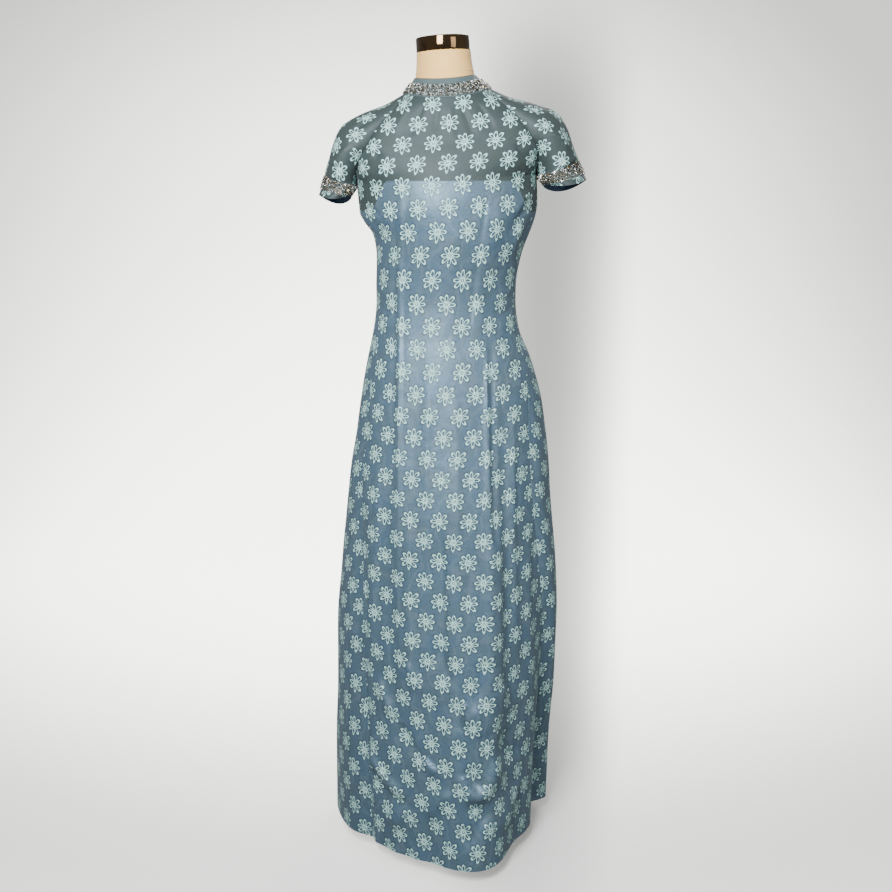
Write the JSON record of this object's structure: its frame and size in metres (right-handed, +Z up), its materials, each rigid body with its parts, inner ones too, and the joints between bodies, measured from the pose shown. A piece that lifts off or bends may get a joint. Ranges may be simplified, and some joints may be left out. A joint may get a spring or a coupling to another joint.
{
  "type": "maxi dress on dress form",
  "caption": "Floor-length sheath dress with raglan cap sleeves, a standing collar, beaded trim and a back zip, on a limbless dress form with a pole and a round base.",
  "frame": {"origin": "centre of the base's underside, on the floor", "axes": "+Z up, +X to the viewer's right as the dress faces the viewer, and -Y the way the dress faces"},
  "size_m": [0.4943, 0.4125, 1.5534],
  "materials": {
    "flowered_cloth": "pale blue satin under sheer cloth with woven whitish-mint flowers",
    "blue_lining": "dark blue, matt",
    "silver_beading": "silver, gold and crystal beads sewn on tape",
    "zip_tape": "blue woven tape",
    "zip_metal": "bright",
    "cream_jersey": "cream jersey stretched over a hard shell",
    "dark_metal": "dark, polished",
    "stand_metal": "grey, satin"
  },
  "bodies": {
    "dress_on_form": {"front_panel": "flowered_cloth", "back_left_panel": "flowered_cloth", "back_right_panel": "flowered_cloth", "sleeve_left": "flowered_cloth", "sleeve_right": "flowered_cloth", "sleeve_lining_left": "blue_lining", "sleeve_lining_right": "blue_lining", "collar": "flowered_cloth", "collar_bead_band": "silver_beading", "sleeve_bead_band_left": "silver_beading", "sleeve_bead_band_right": "silver_beading", "zip": "zip_tape", "zip_slider": "zip_metal", "form_torso": "cream_jersey", "form_cap": "dark_metal", "form_pole": "stand_metal", "form_base": "stand_metal"},
    "pull_tab": {"zip_pull": "zip_metal"}
  },
  "joints": [
    {"name": "pull_tab_flip", "type": "hinge", "parent": "dress_on_form", "child": "pull_tab", "pos_m": [-0.00161, 0.06103, 1.48256], "axis": [0.9984, 0, 0.0558], "range_deg": [0, 150]}
  ]
}
